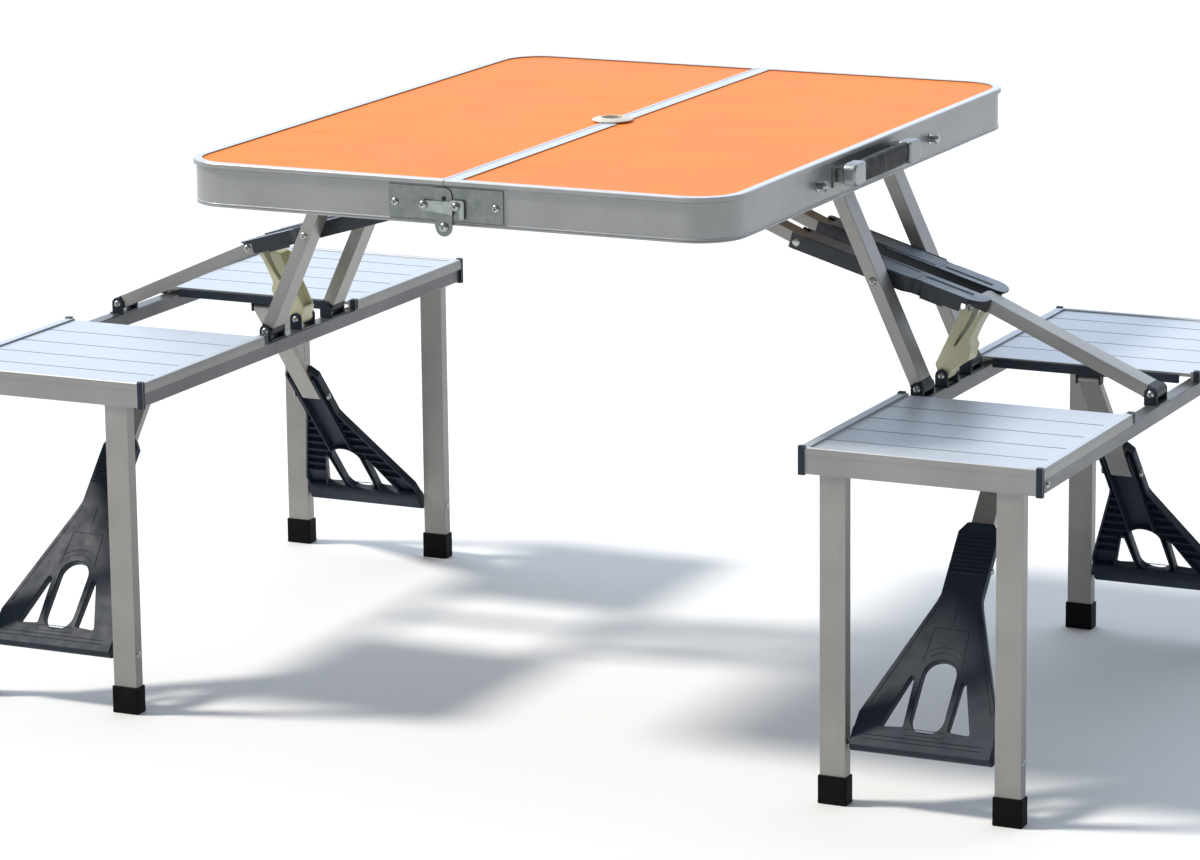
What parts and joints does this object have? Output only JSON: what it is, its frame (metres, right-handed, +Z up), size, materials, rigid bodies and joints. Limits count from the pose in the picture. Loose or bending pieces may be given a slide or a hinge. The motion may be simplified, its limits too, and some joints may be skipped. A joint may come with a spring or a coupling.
{
  "type": "folding picnic table",
  "caption": "Folding picnic table with a hinged two-part top that closes over its seats, a pole hole, and slatted seats on scissor frames with braced folding legs.",
  "frame": {"origin": "on the floor, under the middle of the table top, where the pole hole is", "axes": "+X across the centre seam, towards the side with the carry handle; +Y along the seam; +Z up"},
  "size_m": [1.3612, 0.8688, 0.664],
  "materials": {
    "orange_laminate": "smooth laminate",
    "brushed_aluminium": "satin anodised",
    "rail_aluminium": "satin anodised, darker",
    "seat_aluminium": "satin anodised",
    "pressed_steel": "pressed, zinc plated",
    "zinc_plate": "zinc plated",
    "slate_plastic": "moulded, fine grain",
    "cream_plastic": "moulded",
    "grip_plastic": "moulded grip with satin metal ends"
  },
  "bodies": {
    "left_half": {"table_frame_left": "brushed_aluminium", "table_panel_left": "orange_laminate", "pole_ring_left": "cream_plastic", "pivot_plate_left": "pressed_steel", "latch_plate_front_left": "zinc_plate", "latch_plate_rear_left": "zinc_plate"},
    "right_half": {"table_frame_right": "brushed_aluminium", "table_panel_right": "orange_laminate", "pole_ring_right": "cream_plastic", "pivot_plate_right": "pressed_steel", "latch_plate_front_right": "zinc_plate", "latch_plate_rear_right": "zinc_plate", "carry_handle": "grip_plastic", "case_stud_front": "zinc_plate", "case_stud_rear": "zinc_plate"},
    "front_hook": {"latch_hook_front": "zinc_plate"},
    "rear_hook": {"latch_hook_rear": "zinc_plate"},
    "main_legs_left": {"main_leg_front_left": "brushed_aluminium", "main_leg_rear_left": "brushed_aluminium"},
    "link_bars_left": {"link_bars_left": "brushed_aluminium"},
    "arms_left": {"arm_front_left": "slate_plastic", "arm_rear_left": "slate_plastic"},
    "outer_brace_left": {"outer_brace_left": "brushed_aluminium"},
    "lock_lever_left": {"lock_lever_left": "cream_plastic"},
    "seats_left": {"inner_rail_left": "rail_aluminium", "outer_rail_left": "rail_aluminium", "clevis_front_left": "slate_plastic", "clevis_rear_left": "slate_plastic", "seat_deck_front_left": "seat_aluminium", "seat_deck_rear_left": "seat_aluminium"},
    "seat_legs_front_left": {"seat_leg_inner_front_left": "brushed_aluminium", "seat_leg_outer_front_left": "brushed_aluminium"},
    "stay_front_left": {"brace_stay_front_left": "brushed_aluminium"},
    "fan_front_left": {"fan_brace_front_left": "slate_plastic"},
    "seat_legs_rear_left": {"seat_leg_inner_rear_left": "brushed_aluminium", "seat_leg_outer_rear_left": "brushed_aluminium"},
    "stay_rear_left": {"brace_stay_rear_left": "brushed_aluminium"},
    "fan_rear_left": {"fan_brace_rear_left": "slate_plastic"},
    "main_legs_right": {"main_leg_front_right": "brushed_aluminium", "main_leg_rear_right": "brushed_aluminium"},
    "link_bars_right": {"link_bars_right": "brushed_aluminium"},
    "arms_right": {"arm_front_right": "slate_plastic", "arm_rear_right": "slate_plastic"},
    "outer_brace_right": {"outer_brace_right": "brushed_aluminium"},
    "lock_lever_right": {"lock_lever_right": "cream_plastic"},
    "seats_right": {"inner_rail_right": "rail_aluminium", "outer_rail_right": "rail_aluminium", "clevis_front_right": "slate_plastic", "clevis_rear_right": "slate_plastic", "seat_deck_front_right": "seat_aluminium", "seat_deck_rear_right": "seat_aluminium"},
    "seat_legs_front_right": {"seat_leg_inner_front_right": "brushed_aluminium", "seat_leg_outer_front_right": "brushed_aluminium"},
    "stay_front_right": {"brace_stay_front_right": "brushed_aluminium"},
    "fan_front_right": {"fan_brace_front_right": "slate_plastic"},
    "seat_legs_rear_right": {"seat_leg_inner_rear_right": "brushed_aluminium", "seat_leg_outer_rear_right": "brushed_aluminium"},
    "stay_rear_right": {"brace_stay_rear_right": "brushed_aluminium"},
    "fan_rear_right": {"fan_brace_rear_right": "slate_plastic"}
  },
  "joints": [
    {"name": "seam_hinge", "type": "hinge", "parent": "left_half", "child": "right_half", "pos_m": [0, 0, 0.608], "axis": [0, 1, 0], "range_deg": [0, 65]},
    {"name": "front_hook_pivot", "type": "hinge", "parent": "left_half", "child": "front_hook", "pos_m": [-0.024, -0.4268, 0.632], "axis": [0, 1, 0], "range_deg": [-130, 0]},
    {"name": "rear_hook_pivot", "type": "hinge", "parent": "left_half", "child": "rear_hook", "pos_m": [-0.024, 0.4268, 0.632], "axis": [0, 1, 0], "range_deg": [-130, 0]},
    {"name": "scissor_fold_left", "type": "hinge", "parent": "left_half", "child": "main_legs_left", "pos_m": [-0.30415, 0, 0.64099], "axis": [0, -1, 0], "range_deg": [0, 114.6]},
    {"name": "seat_pivot_left", "type": "hinge", "parent": "main_legs_left", "child": "seats_left", "pos_m": [-0.417, 0, 0.3945], "axis": [0, -1, 0], "range_deg": [-114.6, 0]},
    {"name": "outer_pivot_left", "type": "hinge", "parent": "seats_left", "child": "outer_brace_left", "pos_m": [-0.666, 0, 0.3945], "axis": [0, -1, 0], "range_deg": [-23.73, 0]},
    {"name": "lever_pivot_left", "type": "hinge", "parent": "seats_left", "child": "lock_lever_left", "pos_m": [-0.417, 0, 0.3945], "axis": [0, -1, 0], "range_deg": [0, 87.11]},
    {"name": "bar_pivot_left", "type": "hinge", "parent": "left_half", "child": "link_bars_left", "pos_m": [-0.022, 0, 0.64099], "axis": [0, -1, 0], "range_deg": [-22.45, 0]},
    {"name": "arm_pivot_left", "type": "hinge", "parent": "link_bars_left", "child": "arms_left", "pos_m": [-0.25577, 0, 0.54443], "axis": [0, -1, 0], "range_deg": [0, 186.14]},
    {"name": "leg_fold_front_left", "type": "hinge", "parent": "seats_left", "child": "seat_legs_front_left", "pos_m": [-0.5425, -0.39, 0.372], "axis": [1, 0, 0], "range_deg": [0, 90]},
    {"name": "stay_pivot_front_left", "type": "hinge", "parent": "seats_left", "child": "stay_front_left", "pos_m": [-0.5425, -0.128, 0.372], "axis": [1, 0, 0], "range_deg": [-49.06, 0]},
    {"name": "knee_front_left", "type": "hinge", "parent": "stay_front_left", "child": "fan_front_left", "pos_m": [-0.5425, -0.24589, 0.23611], "axis": [1, 0, 0], "range_deg": [0, 180]},
    {"name": "leg_fold_rear_left", "type": "hinge", "parent": "seats_left", "child": "seat_legs_rear_left", "pos_m": [-0.5425, 0.39, 0.372], "axis": [-1, 0, 0], "range_deg": [0, 90]},
    {"name": "stay_pivot_rear_left", "type": "hinge", "parent": "seats_left", "child": "stay_rear_left", "pos_m": [-0.5425, 0.128, 0.372], "axis": [-1, 0, 0], "range_deg": [-49.06, 0]},
    {"name": "knee_rear_left", "type": "hinge", "parent": "stay_rear_left", "child": "fan_rear_left", "pos_m": [-0.5425, 0.24589, 0.23611], "axis": [-1, 0, 0], "range_deg": [0, 180]},
    {"name": "scissor_fold_right", "type": "hinge", "parent": "right_half", "child": "main_legs_right", "pos_m": [0.30415, 0, 0.64099], "axis": [0, 1, 0], "range_deg": [0, 114.6]},
    {"name": "seat_pivot_right", "type": "hinge", "parent": "main_legs_right", "child": "seats_right", "pos_m": [0.417, 0, 0.3945], "axis": [0, 1, 0], "range_deg": [-114.6, 0]},
    {"name": "outer_pivot_right", "type": "hinge", "parent": "seats_right", "child": "outer_brace_right", "pos_m": [0.666, 0, 0.3945], "axis": [0, 1, 0], "range_deg": [-23.73, 0]},
    {"name": "lever_pivot_right", "type": "hinge", "parent": "seats_right", "child": "lock_lever_right", "pos_m": [0.417, 0, 0.3945], "axis": [0, 1, 0], "range_deg": [0, 87.11]},
    {"name": "bar_pivot_right", "type": "hinge", "parent": "right_half", "child": "link_bars_right", "pos_m": [0.022, 0, 0.64099], "axis": [0, 1, 0], "range_deg": [-22.45, 0]},
    {"name": "arm_pivot_right", "type": "hinge", "parent": "link_bars_right", "child": "arms_right", "pos_m": [0.25577, 0, 0.54443], "axis": [0, 1, 0], "range_deg": [0, 186.14]},
    {"name": "leg_fold_front_right", "type": "hinge", "parent": "seats_right", "child": "seat_legs_front_right", "pos_m": [0.5425, -0.39, 0.372], "axis": [1, 0, 0], "range_deg": [0, 90]},
    {"name": "stay_pivot_front_right", "type": "hinge", "parent": "seats_right", "child": "stay_front_right", "pos_m": [0.5425, -0.128, 0.372], "axis": [1, 0, 0], "range_deg": [-49.06, 0]},
    {"name": "knee_front_right", "type": "hinge", "parent": "stay_front_right", "child": "fan_front_right", "pos_m": [0.5425, -0.24589, 0.23611], "axis": [1, 0, 0], "range_deg": [0, 180]},
    {"name": "leg_fold_rear_right", "type": "hinge", "parent": "seats_right", "child": "seat_legs_rear_right", "pos_m": [0.5425, 0.39, 0.372], "axis": [-1, 0, 0], "range_deg": [0, 90]},
    {"name": "stay_pivot_rear_right", "type": "hinge", "parent": "seats_right", "child": "stay_rear_right", "pos_m": [0.5425, 0.128, 0.372], "axis": [-1, 0, 0], "range_deg": [-49.06, 0]},
    {"name": "knee_rear_right", "type": "hinge", "parent": "stay_rear_right", "child": "fan_rear_right", "pos_m": [0.5425, 0.24589, 0.23611], "axis": [-1, 0, 0], "range_deg": [0, 180]}
  ],
  "couplings": [
    {"joint": "front_hook_pivot", "follows": "seam_hinge", "ratio": -2},
    {"joint": "rear_hook_pivot", "follows": "seam_hinge", "ratio": -2},
    {"joint": "seat_pivot_left", "follows": "scissor_fold_left", "ratio": -1},
    {"joint": "outer_pivot_left", "follows": "scissor_fold_left", "ratio": -0.20702},
    {"joint": "lever_pivot_left", "follows": "scissor_fold_left", "ratio": 0.76004},
    {"joint": "bar_pivot_left", "follows": "scissor_fold_left", "ratio": -0.19585},
    {"joint": "arm_pivot_left", "follows": "scissor_fold_left", "ratio": 1.6242},
    {"joint": "stay_pivot_front_left", "follows": "leg_fold_front_left", "ratio": -0.54507},
    {"joint": "knee_front_left", "follows": "leg_fold_front_left", "ratio": 2},
    {"joint": "stay_pivot_rear_left", "follows": "leg_fold_rear_left", "ratio": -0.54507},
    {"joint": "knee_rear_left", "follows": "leg_fold_rear_left", "ratio": 2},
    {"joint": "seat_pivot_right", "follows": "scissor_fold_right", "ratio": -1},
    {"joint": "outer_pivot_right", "follows": "scissor_fold_right", "ratio": -0.20702},
    {"joint": "lever_pivot_right", "follows": "scissor_fold_right", "ratio": 0.76004},
    {"joint": "bar_pivot_right", "follows": "scissor_fold_right", "ratio": -0.19585},
    {"joint": "arm_pivot_right", "follows": "scissor_fold_right", "ratio": 1.6242},
    {"joint": "stay_pivot_front_right", "follows": "leg_fold_front_right", "ratio": -0.54507},
    {"joint": "knee_front_right", "follows": "leg_fold_front_right", "ratio": 2},
    {"joint": "stay_pivot_rear_right", "follows": "leg_fold_rear_right", "ratio": -0.54507},
    {"joint": "knee_rear_right", "follows": "leg_fold_rear_right", "ratio": 2}
  ]
}
